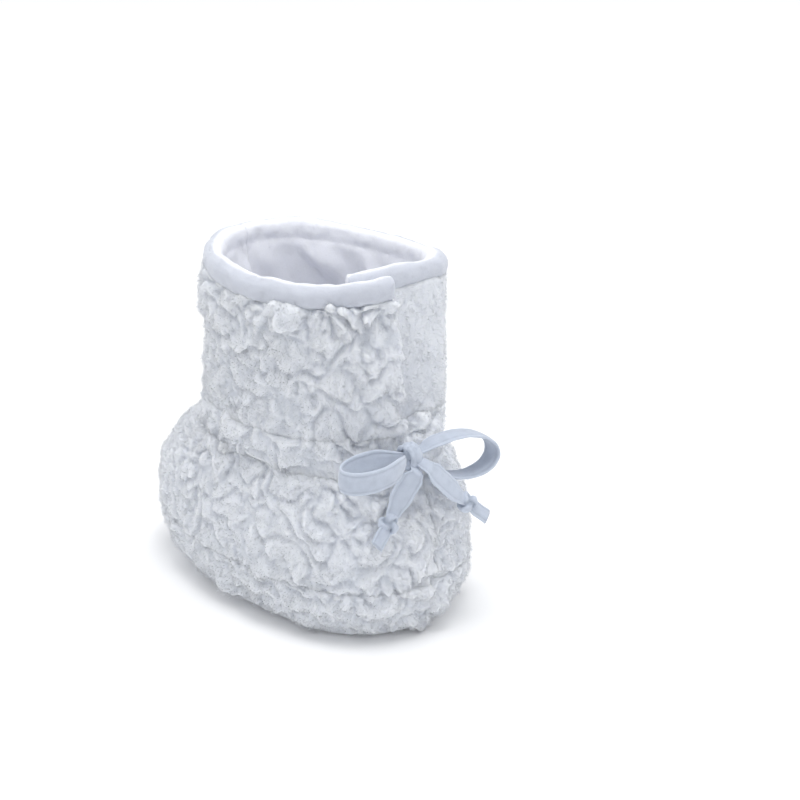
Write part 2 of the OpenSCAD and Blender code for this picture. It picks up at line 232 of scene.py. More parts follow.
def core_of(p):
    """The nearest point of the foot's and the leg's middle line."""
    foot_low, foot_high = box("outsole", "ankle_gather")
    middle_z = foot_low[2] + 0.4 * (foot_high[2] - foot_low[2])
    in_leg = smoothstep(foot_high[2] - 22 * MM, foot_high[2] - 6 * MM, p[:, 2])
    y = np.clip(p[:, 1], 0.5 * foot_low[1], 0.5 * foot_high[1]) * (1 - in_leg)
    return np.stack([np.zeros(len(p)), y, np.maximum(p[:, 2], middle_z)], axis=1)


def outward(p, n):
    """1 on the outside of the bootie's shells, 0 on their inside."""
    return smoothstep(-0.2, 0.3, np.sum(unit(p - core_of(p)) * n, axis=1))


def widened(obj, thicker, wider):
    """Moves a shell's outside outwards and its edges sideways, but not its inside."""
    p, n = points_of(obj), normals_of(obj)
    out = unit(p - core_of(p))
    rising = np.sum(n * out, axis=1, keepdims=True)
    set_points(obj, p + out * np.maximum(rising, 0) * thicker + (n - rising * out) * wider)
    return obj


def inflated(obj, amount):
    set_points(obj, points_of(obj) + normals_of(obj) * amount)
    return obj


def remeshed(obj, voxel, smooth):
    with_modifier(obj, "REMESH", mode="VOXEL", voxel_size=voxel)
    return with_modifier(obj, "SMOOTH", factor=0.5, iterations=smooth)


def sharp_edges(node_name):
    """A welded mesh of a CAD node with its sharp edges."""
    copy = copy_nodes("copy", node_name)
    mesh = bmesh.new()
    mesh.from_mesh(copy.data)
    bpy.data.objects.remove(copy)
    return mesh, [e for e in mesh.edges if len(e.link_faces) == 2 and e.calc_face_angle(0) > 0.7]


def stations(node_name):
    """The four corners of each section of a CAD ribbon, from end to end. The first two are a width apart."""
    mesh, sharp = sharp_edges(node_name)
    around = {}
    for edge in sharp:
        for vertex in edge.verts:
            around.setdefault(vertex, []).append(edge)
    ends = {v for v, edges in around.items() if len(edges) > 2}
    corner = min(ends, key=lambda v: tuple(v.co))
    cap = [corner]
    while len(cap) < 4:
        steps = [e.other_vert(cap[-1]) for e in around[cap[-1]] if e.other_vert(cap[-1]) in ends]
        steps = [v for v in steps if v not in cap]
        cap.append(max(steps, key=lambda v: (v.co - cap[-1].co).length) if len(cap) == 1 else steps[0])
    rims = []
    for vertex in cap:
        rim, last = [vertex], None
        while True:
            steps = [e for e in around[rim[-1]] if e is not last
                     and not (e.verts[0] in ends and e.verts[1] in ends)]
            if not steps:
                break
            last = steps[0]
            rim.append(last.other_vert(rim[-1]))
            if rim[-1] in ends:
                break
        rims.append([np.array(v.co) for v in rim])
    mesh.free()
    return np.array(rims).transpose(1, 0, 2)


def edge_distance(p, node_name):
    """Distance of each point from the nearest sharp edge of a CAD node."""
    mesh, sharp = sharp_edges(node_name)
    ends = [(np.array(e.verts[0].co), np.array(e.verts[1].co)) for e in sharp]
    mesh.free()
    nearest = np.full(len(p), 1.0)
    for start, end in ends:
        along = end - start
        t = np.clip((p - start) @ along / max(along @ along, 1e-12), 0, 1)
        nearest = np.minimum(nearest, np.linalg.norm(p - start - t[:, None] * along, axis=1))
    return nearest


def fibres(obj, count, length, radius, droop, where, seed, name, lighter, sunk=0.25 * MM):
    """Short bent strands that grow out of a piece, their roots sunk into it.

    where says how thickly they stand at each vertex."""
    rng = np.random.default_rng(seed)
    mesh = obj.data
    mesh.calc_loop_triangles()
    corners = np.empty(len(mesh.loop_triangles) * 3, np.int32)
    mesh.loop_triangles.foreach_get("vertices", corners)
    corners = corners.reshape(-1, 3)
    p, n = points_of(obj), normals_of(obj)
    a, b, c = p[corners[:, 0]], p[corners[:, 1]], p[corners[:, 2]]
    weight = np.linalg.norm(np.cross(b - a, c - a), axis=1) * where[corners].mean(axis=1)
    picked = rng.choice(len(corners), count, p=weight / weight.sum())
    u, v = rng.random(count), rng.random(count)
    u, v = np.where(u + v > 1, 1 - u, u)[:, None], np.where(u + v > 1, 1 - v, v)[:, None]
    normal = unit(n[corners[picked]].mean(axis=1))
    root = a[picked] + u * (b - a)[picked] + v * (c - a)[picked] - normal * sunk
    side = unit(np.cross(normal, rng.normal(size=(count, 3))))
    size = length * (0.6 + 0.8 * rng.random(count))[:, None]
    first = unit(0.8 * normal + 0.7 * side - 0.4 * droop * UP)
    second = unit(1.0 * side + 0.15 * normal - 0.7 * droop * UP)
    middle = root + first * size * 0.5
    tip = middle + second * size * 0.5
    across = unit(np.cross(first, second))
    depth = unit(np.cross(first, across))
    ring = [(math.cos(k * math.tau / 3), math.sin(k * math.tau / 3)) for k in range(3)]
    thick = radius * (0.8 + 0.4 * rng.random(count))[:, None]
    vertices = np.stack(
        [root + thick * (x * across + y * depth) for x, y in ring]
        + [middle + 0.75 * thick * (x * across + y * depth) for x, y in ring] + [tip], axis=1)
    pattern = [(2, 1, 0), (0, 1, 4, 3), (1, 2, 5, 4), (2, 0, 3, 5), (3, 4, 6), (4, 5, 6), (5, 3, 6)]
    faces = [tuple(7 * i + k for k in face) for i in range(count) for face in pattern]
    strands = new_object("strands", vertices.reshape(-1, 3), faces)
    for key in ("pile", "fold", "inner", "rib"):
        if key in mesh.attributes:
            values = np.empty(len(mesh.vertices), np.float32)
            mesh.attributes[key].data.foreach_get("value", values)
            # The tips are raised by lighter in the attribute called name: painted light on the strand tips,
            # with their roots kept in the surface's painted shade.
            tips = np.tile([0.0] * 3 + [lighter if key == name else 0.0] * 4, count)
            store(strands, key, np.clip(np.repeat(values[corners[picked]].mean(axis=1), 7) + tips, 0, 1))
    return joined(obj, strands)


# ---- Fleece

FLEECE_VOXEL = 0.95 * MM    # size of the faces before the last subdivision
PUFF = 17 * MM              # the fabric's soft bulges
CLUMP = 10 * MM             # heaps of tufts
TUFT = 6.4 * MM             # the matted tufts of the pile
LOCK = 3.1 * MM             # the locks in a tuft
CURL = 1.6 * MM             # the curls in a lock
WARP = 2.6 * MM             # how far the tufts' pattern is bent
RELIEF = 5.0 * MM           # how high the tufts stand
RELIEF_LEVEL = 0.30         # the height in a tuft that stays where it is
LEAN = 3.1 * MM             # how far the tufts hang over
STRAND_LENGTH = 1.5 * MM    # the short strands on the pile
STRAND_RADIUS = 0.055 * MM
STRAND_LIFT = 0.03 * MM     # keeps their roots out of the surface
PANEL_VOXEL = 1.7 * MM      # size of the faces while a panel swells
PANEL_HELD = 3 * MM         # how far from its seams a panel is held
PANEL_SWELL = 1.2 * MM      # how far it may swell at most
PANEL_PRESSURE = 40         # of a small panel; a large one swells more under the same pressure
FLEECE_SEED = 11            # one seed, so the pile runs on from panel to panel


def fleece_relief(p, n, strength, seed):
    """How far the pile moves each point, and how high each point then lies in its tuft, from 0 to 1."""
    q = p * (1, 1, 0.85) + wave_vectors(p, 8 * MM, seed) * WARP
    clump, clump_lean = domes(q, CLUMP, seed + 5, True)
    tuft = billows(q, TUFT, seed + 6) ** 0.7
    lock = billows(q + wave_vectors(p, LOCK, seed + 50) * 1.0 * MM, LOCK, seed + 7) ** 0.8
    curl = billows(p + wave_vectors(p, CURL, seed + 60) * 0.4 * MM, CURL, seed + 8)
    height = (0.66 * tuft + 0.28 * lock + 0.08 * curl) * (0.45 + 0.7 * clump)
    lean = 0.8 * clump_lean + 0.4 * wave_vectors(p, TUFT, seed + 30) - UP * 0.9
    lean -= n * np.sum(lean * n, axis=1, keepdims=True)
    out = 1.0 * MM * waves(p, PUFF, seed + 40) + RELIEF * (height - RELIEF_LEVEL)
    move = n * (out * strength)[:, None] + lean * (LEAN * height * strength)[:, None]
    return move, smoothstep(-0.05, 0.5, height)


def angle_of(p):
    """The angle round the leg, from the toe towards the wearer's left."""
    return np.degrees(np.arctan2(p[:, 0], -p[:, 1]))


def clear_of(p, margin, *nodes):
    """0 at some CAD nodes, 1 beyond a margin round their box."""
    low, high = box(*nodes)
    away = np.linalg.norm(np.maximum(np.maximum(low - p, p - high), 0), axis=1)
    return smoothstep(1 * MM, margin, away)


def lumpiness(p):
    """The pile is matted on the wearer's right and low down, thick under the cuff and flat under the bow."""
    phi = angle_of(p)
    right = smoothstep(-165, -125, phi) * smoothstep(15, -12, phi)
    low = smoothstep(30 * MM, 18 * MM, p[:, 2])
    cuff_z = box("cuff_left", "cuff_right")[0][2]
    under_cuff = 0.35 * smoothstep(cuff_z - 12 * MM, cuff_z, p[:, 2])
    matted = 0.66 + 0.34 * np.maximum(right, 0.7 * low) + under_cuff
    for bow_piece, pressed in (("bow_knot", 0.75), ("bow_loop_right", 0.45), ("bow_loop_left", 0.5)):
        matted *= 1 - pressed * (1 - clear_of(p, 6 * MM, bow_piece))
    return matted * (1 + 0.45 * waves(p, 24 * MM, FLEECE_SEED + 70))


def pile_strength(p, n):
    """No pile inside, and a flattened one under the sole."""
    under = smoothstep(-0.6, -0.95, n[:, 2]) * smoothstep(6 * MM, 3 * MM, p[:, 2])
    return outward(p, n) * (1 - 0.85 * under) * lumpiness(p)


def swollen(obj, nodes, pressure):
    """Lets a panel swell under a little pressure while its seams hold it."""
    remeshed(obj, PANEL_VOXEL, smooth=1)
    before = points_of(obj)
    seams = np.min([edge_distance(before, n) for n in nodes], axis=0)
    held = obj.vertex_groups.new(name="held")
    held.add([int(i) for i in np.flatnonzero(seams < PANEL_HELD)], 1.0, "REPLACE")
    cloth = obj.modifiers.new("cloth", "CLOTH")
    cloth.settings.quality = 5
    cloth.settings.mass = 0.001
    cloth.settings.tension_stiffness = 8
    cloth.settings.compression_stiffness = 8
    cloth.settings.bending_stiffness = 0.2
    cloth.settings.use_pressure = True
    cloth.settings.uniform_pressure_force = pressure
    cloth.settings.effector_weights.gravity = 0
    cloth.settings.vertex_group_mass = "held"
    cloth.point_cache.frame_start = 1
    cloth.point_cache.frame_end = 20
    for step in range(1, 21):
        bpy.context.scene.frame_set(step)
    applied(obj)
    bpy.context.scene.frame_set(1)
    moved = points_of(obj) - before
    far = np.linalg.norm(moved, axis=1, keepdims=True)
    print(obj.name, "swelled by up to %.2f mm, mean %.2f" % (far.max() / MM, far.mean() / MM))
    moved *= np.minimum(1, PANEL_SWELL / np.maximum(far, 1e-9)) * outward(before, normals_of(obj))[:, None]
    set_points(obj, before + moved)
    return obj


def make_fleece(name, nodes, strands, ease_at=None, thicker=0.3 * MM, pressure=PANEL_PRESSURE):
    obj = widened(copy_nodes(name, *nodes), thicker, 2.4 * MM)
    swollen(obj, nodes, pressure)
    remeshed(obj, FLEECE_VOXEL, smooth=4)
    with_modifier(obj, "SUBSURF", levels=1)
    p, n = points_of(obj), normals_of(obj)
    strength = pile_strength(p, n)
    if ease_at is not None:
        strength *= ease_at(p)
    move, high = fleece_relief(p, n, strength, FLEECE_SEED)
    p += move
    p[:, 2] = np.maximum(p[:, 2], cad_low.z)
    set_points(obj, p)
    with_modifier(obj, "SMOOTH", factor=0.5, iterations=5)
    shown = np.clip(strength, 0.3, 1)
    # The 'pile' attribute paints shade into the fleece: low points between the tufts darker, tuft tops
    # lighter; where the pile is flat it stays at the middle tone.
    store(obj, "pile", high * shown + 0.5 * (1 - shown))
    grown = outward(p, n) * smoothstep(-0.9, -0.6, n[:, 2]) * (0.3 + high)
    return fibres(obj, strands, STRAND_LENGTH, STRAND_RADIUS, 0.5, grown, 5, "pile", 0.5, -STRAND_LIFT)


# ---- Materials


def material(name):
    m = bpy.data.materials.new(name)
    m.use_nodes = True
    nodes = m.node_tree.nodes
    nodes.clear()
    out = nodes.new("ShaderNodeOutputMaterial")
    shader = nodes.new("ShaderNodeBsdfPrincipled")
    m.node_tree.links.new(shader.outputs["BSDF"], out.inputs["Surface"])
    return m, m.node_tree, shader


def node(tree, kind, inputs=None, **settings):
    """A shader node with its settings, and its inputs given as values or as other nodes' outputs."""
    made = tree.nodes.new(kind)
    for key, value in settings.items():
        setattr(made, key, value)
    for key, value in (inputs or {}).items():
        if isinstance(value, bpy.types.NodeSocket):
            tree.links.new(value, made.inputs[key])
        else:
            made.inputs[key].default_value = value
    return made


def ramp(tree, factor, *stops):
    """A colour ramp: each stop is a place and a colour."""
    made = node(tree, "ShaderNodeValToRGB", {"Fac": factor})
    elements = made.color_ramp.elements
    for element, (place, colour) in zip(elements, (stops[0], stops[-1])):
        element.position = place
        element.color = (*colour, 1)
    for place, colour in stops[1:-1]:
        elements.new(place).color = (*colour, 1)
    return made.outputs["Color"]


def mixed(tree, factor, a, b, kind="MIX"):
    made = node(tree, "ShaderNodeMix", data_type="RGBA", blend_type=kind)
    for socket, value in zip((made.inputs[0], made.inputs[6], made.inputs[7]), (factor, a, b)):
        if isinstance(value, bpy.types.NodeSocket):
            tree.links.new(value, socket)
        else:
            socket.default_value = (*value, 1) if isinstance(value, tuple) else value
    return made.outputs[2]


def cloth_material(name, dark, light, attribute, tint_and_inside_light, nap_scale, nap_depth, sheen,
                   tint_and_inside_light_by=None, soft=0.0):
    """A matt fabric: shaded from dark to light by an attribute, mostly painted shade and highlight; tinted in
    patches, or, given an attribute that marks the inside, painted much lighter there as painted light; with a
    fine nap.
    """
    m, tree, shader = material(name)
    place = node(tree, "ShaderNodeTexCoord").outputs["Object"]
    by = node(tree, "ShaderNodeAttribute", attribute_name=attribute).outputs["Fac"]
    if tint_and_inside_light_by:
        tint_patches_and_lit_inside = node(tree, "ShaderNodeAttribute", attribute_name=tint_and_inside_light_by).outputs["Fac"]
    else:
        tint_patches_and_lit_inside = node(tree, "ShaderNodeTexNoise",
            {"Vector": place, "Scale": 55.0, "Detail": 3.0}).outputs["Fac"]
    nap = node(tree, "ShaderNodeTexNoise",
        {"Vector": place, "Scale": nap_scale, "Detail": 4.0, "Distortion": 1.2}).outputs["Fac"]
    middle = tuple((3 * l + d) / 4 for d, l in zip(dark, light))
    shaded = ramp(tree, by, (0.0, dark), (0.45, middle), (0.95, light))
    # On the velour, the inside is mixed to a colour much lighter than the outside of the same cloth: painted
    # light that makes up for the shade deep in the leg, with a lavender hue. Elsewhere this is a random tint
    # in patches.
    tinted_and_lit = mixed(tree, tint_patches_and_lit_inside, shaded, tint_and_inside_light if tint_and_inside_light_by else mixed(tree, 1.0, shaded, tint_and_inside_light, "MULTIPLY"))
    # The nap's noise is also the bump's height, so its low spots are darkened a little: painted shade in the
    # nap's hollows.
    speckles = ramp(tree, nap, (0.3, (0.4, 0.4, 0.45)), (0.7, (1.0, 1.0, 1.0)))
    speckled = mixed(tree, 0.10, tinted_and_lit, speckles, "MULTIPLY")
    tree.links.new(speckled, shader.inputs["Base Color"])
    bump = node(tree, "ShaderNodeBump", {"Height": nap, "Strength": 0.6, "Distance": nap_depth})
    tree.links.new(bump.outputs["Normal"], shader.inputs["Normal"])
    shader.inputs["Roughness"].default_value = 0.95
    shader.inputs["Subsurface Weight"].default_value = soft
    shader.inputs["Subsurface Radius"].default_value = (1.0, 1.0, 1.1)
    shader.inputs["Subsurface Scale"].default_value = 1.6 * MM
    shader.inputs["Sheen Weight"].default_value = sheen
    shader.inputs["Sheen Roughness"].default_value = 0.4
    shader.inputs["Specular IOR Level"].default_value = 0.1
    return m


# The fleece's dark and light colours are painted shade between the tufts and painted light on their tops, set
# by the 'pile' attribute.
fleece = cloth_material("fleece", (0.65, 0.68, 0.73), (0.85, 0.87, 0.90), "pile", (0.97, 0.98, 1.0), 1400.0,
    0.15 * MM, 0.3, soft=0.5)
# The velour's dark and light colours: random tone and painted highlight on fold crests, by 'fold'; its last
# colour is the much lighter inside, painted light by 'inner'.
velour = cloth_material("velour", (0.45, 0.48, 0.54), (0.57, 0.60, 0.67), "fold", (0.92, 0.935, 1.0), 2600.0,
    0.10 * MM, 0.4, "inner", 0.3)
# The velvet's dark and light colours are painted shade and painted highlight, set by the 'edge' attribute.
velvet = cloth_material("velvet", (0.40, 0.445, 0.52), (0.60, 0.65, 0.74), "edge", (0.97, 0.98, 1.0), 2200.0,
    0.12 * MM, 0.4)
cotton = cloth_material("cotton", (0.70, 0.72, 0.76), (0.92, 0.93, 0.95), "ply", (0.98, 0.98, 1.0), 3000.0,
    0.05 * MM, 0.1)
# The nylon's dark and light colours: painted shade in the elastic's grooves by 'rib'; on the tapes, random
# tone with lighter strand tips.
nylon = cloth_material("nylon", (0.66, 0.67, 0.70), (0.90, 0.91, 0.93), "rib", (0.98, 0.98, 1.0), 1800.0,
    0.06 * MM, 0.1)


# ---- The fleece panels

finished(make_fleece("outsole_fleece", ["outsole"], 12000, pressure=PANEL_PRESSURE / 8), fleece, "fleece",
    "foot", "outsole")
for side in ("right", "left"):
    finished(make_fleece("upper_fleece_" + side, ["upper_" + side], 12000), fleece, "fleece", "foot",
        "upper_" + side)


def underlap_ease(p):
    """The strip that goes under the flap is nearly smooth."""
    return 0.35 + 0.65 * smoothstep(50, 80, np.abs(angle_of(p)))


finished(make_fleece("leg_fleece_left", ["leg_left"], 10000, underlap_ease), fleece, "fleece", "leg",
    "leg_left")

leg_right = finished(make_fleece("leg_fleece_right", ["leg_right", "flap_panel"], 12000), fleece, "fleece",
    None, "leg_right", "flap_panel")
ankle = finished(make_fleece("ankle_fleece", ["ankle_gather"], 9000, lambda p: 1.25, 1.2 * MM), fleece,
    "fleece", None, "ankle_gather")

# ---- The lining and its rolled cuff


def velour_fold(p, n, held):
    """Soft slanting folds on the inside of the lining, and slight puckers round the roll."""
    around = np.radians(angle_of(p)) * 34 * MM
    slanted = np.stack([(around + p[:, 2]) * 0.3, around - p[:, 2], np.linalg.norm(p[:, :2], axis=1)], axis=1)
    inside = 1 - outward(p, n)
    roll_z = box("cuff_left", "cuff_right")[1][2] - 9 * MM
    below = smoothstep(0 * MM, -9 * MM, p[:, 2] - roll_z)
    folds = smoothstep(-0.5, 0.8, waves(slanted, 15 * MM, 81))
    pucker = waves(p, 4 * MM, 83) * 0.3 * MM + waves(p, 13 * MM, 84) * 0.7 * MM
    return inside * below * held * folds, pucker * (1 - inside * below), inside


LINING_GROW = 0.42 * MM      # closes the gaps between the lining's parts
LINING_VOXEL = 0.6 * MM
FOLD_DEPTH = 2.2 * MM


def make_lining(name, nodes):
    obj = inflated(copy_nodes(name, *nodes), LINING_GROW)
    p = points_of(obj)
    at_back = (np.abs(angle_of(p)) > 170) & (np.abs(p[:, 0]) < 1.5 * MM)
    p[at_back, 0] = -0.5 * MM * np.sign(p[at_back, 0])
    set_points(obj, p)
    remeshed(obj, LINING_VOXEL, smooth=5)
    p, n = points_of(obj), normals_of(obj)
    folds, pucker, inside = velour_fold(p, n, clear_of(p, 8 * MM, "hook_tape"))
    set_points(obj, p + n * (FOLD_DEPTH * folds + pucker)[:, None])
    # The 'fold' attribute shades the velour: random tone, plus painted highlight on the crests of the inside
    # folds.
    store(obj, "fold", np.clip(0.8 + 0.3 * waves(p, 8 * MM, 85) + 0.1 * folds, 0, 1))
    # 'inner' marks the inside, which the velour paints much lighter: painted light, with a lavender hue.
    store(obj, "inner", np.clip(0.15 + inside, 0, 1))
    return fibres(obj, 9000, 0.9 * MM, 0.05 * MM, 0.3, np.ones(len(p)), 6, "fold", 0.1)


lining_right = finished(make_lining("lining_roll_right",
    ["leg_lining_right", "flap_lining", "cuff_right", "flap_cuff"]), velour, "lining", None,
    "leg_lining_right", "flap_lining", "cuff_right", "flap_cuff")
finished(make_lining("lining_roll_left", ["leg_lining_left", "cuff_left"]), velour, "lining", "leg",
    "leg_lining_left", "cuff_left")


def make_layer(name, nodes, levels, wrinkle, attribute):
    """A thin inner layer with a little unevenness."""
    obj = with_modifier(copy_nodes(name, *nodes), "SUBSURF", levels=levels)
    p, n = points_of(obj), normals_of(obj)
    set_points(obj, p + n * (wrinkle * waves(p, 6 * MM, 91) - 0.5 * wrinkle)[:, None])
    store(obj, attribute, np.clip(0.7 + 0.4 * waves(p, 7 * MM, 92), 0, 1))
    # The whole layer takes the velour's lighter inside colour: painted light.
    store(obj, "inner", np.ones(len(p)))
    return obj


finished(make_layer("foot_lining_soft", ["foot_lining"], 2, 0.15 * MM, "fold"), velour, "lining", "foot",
    "foot_lining")
ankle_lining = finished(make_layer("ankle_lining_soft", ["ankle_lining"], 2, 0.15 * MM, "fold"), velour,
    "lining", None, "ankle_lining")


def make_pad(name, node_name, voxel, wrinkle, attribute):
    """A flat layer with rounded edges."""
    obj = remeshed(copy_nodes(name, node_name), voxel, smooth=3)
    p, n = points_of(obj), normals_of(obj)
    set_points(obj, p + n * (wrinkle * waves(p, 5 * MM, 95))[:, None])
    store(obj, attribute, np.clip(0.7 + 0.4 * waves(p, 4 * MM, 96), 0, 1))
    # On the velour pad the whole layer takes the lighter inside colour: painted light; the fleece pad doesn't
    # read it.
    store(obj, "inner", np.ones(len(p)))
    return obj


finished(make_pad("insole_pad", "insole", 0.5 * MM, 0.1 * MM, "fold"), velour, "lining", "foot", "insole")
finished(make_pad("wadding_pad", "sole_wadding", 0.9 * MM, 0.25 * MM, "pile"), fleece, "wadding", "foot",
    "sole_wadding")


def make_elastic(name):
    obj = remeshed(copy_nodes(name, "ankle_elastic"), 0.3 * MM, smooth=1)
    p, n = points_of(obj), normals_of(obj)
    ribs = np.cos(np.arctan2(p[:, 0], -p[:, 1]) * 150)
    set_points(obj, p + n * (0.08 * MM * ribs)[:, None])
    # The 'rib' attribute follows the ribs: painted light on their crests and painted shade in the grooves.
    store(obj, "rib", 0.5 + 0.5 * ribs)
    return obj


elastic = finished(make_elastic("elastic_band"), nylon, "elastic", None, "ankle_elastic")

# ---- The tapes of the closure


def make_tape(name, node_name, count, length, droop, radius):
    obj = remeshed(copy_nodes(name, node_name), 0.3 * MM, smooth=1)
    p, n = points_of(obj), normals_of(obj)
    store(obj, "rib", np.clip(0.5 + 0.5 * waves(p, 1 * MM, 97), 0, 1))
    facing = outward(p, n) if node_name == "loop_tape" else 1 - outward(p, n)
    inner = smoothstep(0.8 * MM, 1.6 * MM, edge_distance(p, node_name))
    return fibres(obj, count, length, radius, droop, facing * inner, 7, "rib", 0.2)


finished(make_tape("hook_tape_bristled", "hook_tape", 900, 0.5 * MM, 0.0, 0.07 * MM), nylon, "hook_tape",
    "flap", "hook_tape")
finished(make_tape("loop_tape_looped", "loop_tape", 1800, 0.6 * MM, 0.3, 0.05 * MM), nylon, "loop_tape",
    "leg", "loop_tape")

# ---- The ribbon


def smooth_path(rows, step):
    """Rows of numbers along a path, made denser by curves through them. The first three are a point."""
    padded = np.concatenate([2 * rows[:1] - rows[1:2], rows, 2 * rows[-1:] - rows[-2:-1]])
    dense = []
    for a, b, c, d in zip(padded, padded[1:], padded[2:], padded[3:]):
        count = max(2, int(np.linalg.norm(c[:3] - b[:3]) / step))
        for t in np.arange(count) / count:
            dense.append(0.5 * (2 * b + (c - a) * t + (2 * a - 5 * b + 4 * c - d) * t ** 2
                + (3 * b - 3 * c + d - a) * t ** 3))
    return np.array(dense + [rows[-1]])


def ribbon_profile():
    """Half of a section: places across, from -1 to 1, and how thick the tape is there, from 0 to 1."""
    u = -np.cos(np.linspace(0.0, math.pi, 25)) * 0.5 + 0.5 * np.linspace(-1, 1, 25)
    thick = (1 - np.abs(u) ** 5) ** 0.5 * (0.78 + 0.22 * smoothstep(0.62, 0.3, np.abs(u)))
    return u, thick - 0.28 * np.exp(-(((np.abs(u) - 0.68) / 0.06) ** 2))


def make_ribbon(name, parts, seed):
    """Velvet tape folded double, swept along CAD ribbons. A part is a node and where its ends go on to."""
    made = []
    u, thick = ribbon_profile()
    for node_name, targets in parts:
        quads = stations(node_name)
        middle = quads.mean(axis=1)
        wide = (quads[:, 1] - quads[:, 0] + quads[:, 2] - quads[:, 3]) / 4
        deep = (quads[:, 3] - quads[:, 0] + quads[:, 2] - quads[:, 1]) / 4
        rows = np.concatenate([middle, wide, deep], axis=1)
        for target in targets:
            to_first = np.linalg.norm(rows[0, :3] - target)
            to_last = np.linalg.norm(rows[-1, :3] - target)
            near = rows[0] if to_first < to_last else rows[-1]
            half_way, there = near.copy(), near.copy()
            half_way[:3], there[:3] = 0.45 * near[:3] + 0.55 * target, target
            half_way[3:6] *= 0.75
            there[3:6] *= 0.5
            at_first = to_first < to_last
            rows = np.concatenate([[there, half_way], rows] if at_first else [rows, [half_way, there]])
        rows = smooth_path(rows, 0.45 * MM)
        middle, wide, deep = rows[:, None, :3], rows[:, None, 3:6], rows[:, None, 6:9]
        thickness = 1.15 * (0.85 + 0.15 * waves(rows[:, :3], 4 * MM, seed))[:, None]
        over = middle + wide * u[:, None] + deep * (thick * thickness)[..., None]
        under = middle + wide * u[::-1, None] - deep * (thick[::-1] * thickness)[..., None]
        rings = np.concatenate([over, under], axis=1)
        count, sides = rings.shape[:2]
        faces = [(i * sides + j, i * sides + (j + 1) % sides, (i + 1) * sides + (j + 1) % sides,
            (i + 1) * sides + j) for i in range(count - 1) for j in range(sides)]
        faces += [tuple(reversed(range(sides))), tuple((count - 1) * sides + j for j in range(sides))]
        piece = new_object(name, rings.reshape(-1, 3), faces)
        across = np.abs(np.concatenate([u, u[::-1]]))
        # The 'edge' attribute paints light into the velvet: the rounded edges of the tape lighter, a painted
        # highlight, and its groove darker, painted shade.
        lit = 0.42 + 0.38 * smoothstep(0.6, 0.95, across) - 0.2 * np.exp(-(((across - 0.68) / 0.07) ** 2))
        # Random unevenness in that painted light.
        uneven_sheen = 0.12 * waves(points_of(piece), 2 * MM, seed + 2)
        store(piece, "edge", np.clip(np.tile(lit, count) + uneven_sheen, 0, 1))
        with_modifier(piece, "WELD", merge_threshold=0.02 * MM)
        mesh = bmesh.new()
        mesh.from_mesh(piece.data)
        bmesh.ops.recalc_face_normals(mesh, faces=mesh.faces)
        mesh.to_mesh(piece.data)
        mesh.free()
        p, n = points_of(piece), normals_of(piece)
        nap = 0.05 * MM * waves(p, 0.8 * MM, seed) + 0.10 * MM * waves(p, 3 * MM, seed + 1)
        set_points(piece, p + n * nap[:, None])
        made.append(piece)
    return joined(made[0], *made[1:]) if len(made) > 1 else made[0]


def centre(node_name):
    return sum(np.array(corner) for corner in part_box(node_name)) / 2


for side in ("right", "left"):
    bow = centre("bow_knot")
    loop, tail, end = "bow_loop_" + side, "tail_" + side, "tail_end_" + side
    knot = centre("tail_knot_" + side)
    finished(make_ribbon("loop_ribbon_" + side, [(loop, [bow, bow])], 101), velvet, "ribbon",
        "loop_" + side, loop)
    finished(make_ribbon("tail_ribbon_" + side, [(tail, [bow, knot]), (end, [knot])], 105), velvet, "ribbon",
        tail, tail, end)


def band_section(path, width, thickness, closed_out):
    """Rounded flat sections along a closed path, with their flat side turned away from closed_out."""
    rings = []
    for k in range(len(path)):
        forward = unit(path[(k + 1) % len(path)] - path[k - 1])
        out = path[k] - closed_out
        out = unit(out - forward * (out @ forward))
        across = np.cross(forward, out)
        ring = []
        for j in range(12):
            a = j * math.tau / 12
            x, y = math.cos(a), math.sin(a)
            ring.append(path[k] + across * width / 2 * np.sign(x) * abs(x) ** 0.6
                + out * thickness / 2 * np.sign(y) * abs(y) ** 0.8)
        rings.append(ring)
    return rings


def closed_tube(name, rings):
    rows, cols = len(rings), len(rings[0])
    vertices = [v for ring in rings for v in ring]
    faces = [(i * cols + j, i * cols + (j + 1) % cols, (i + 1) % rows * cols + (j + 1) % cols,
        (i + 1) % rows * cols + j) for i in range(rows) for j in range(cols)]
    return new_object(name, vertices, faces)


def overhand_knot(name, node_name, facing, turn):
    """A ribbon tied in an overhand knot, turned so that its flat side looks along facing."""
    low, high = box(node_name)
    centre, radius = (low + high) / 2, (high[0] - low[0]) / 2
    out = unit(np.array(facing))
    right = unit(np.cross(UP, out))
    top = np.cross(out, right)
    path = []
    for k in range(96):
        t = k * math.tau / 96
        x, y = math.sin(t) + 2 * math.sin(2 * t), math.cos(t) - 2 * math.cos(2 * t)
        x, y = x * math.cos(turn) - y * math.sin(turn), x * math.sin(turn) + y * math.cos(turn)
        z = -math.sin(3 * t)
        path.append(centre + radius * 0.27 * (x * right + y * top) + radius * 0.42 * z * out)
    tube = closed_tube(name, band_section(path, 2.6 * MM, 1.3 * MM, centre))
    heart = inflated(copy_nodes("heart", node_name), -0.45 * radius)
    joined(tube, heart)
    remeshed(tube, 0.26 * MM, smooth=2)
    p, n = points_of(tube), normals_of(tube)
    set_points(tube, p + n * (0.07 * MM * waves(p, 0.8 * MM, 111))[:, None])
    height = np.linalg.norm(p - centre, axis=1) / radius
    # Lighter towards the knot's outer turns and darker towards its heart: painted shade, with random tone.
    store(tube, "edge", np.clip(smoothstep(0.55, 1.15, height) * 0.8 + 0.25 * waves(p, 1.2 * MM, 112), 0, 1))
    return tube


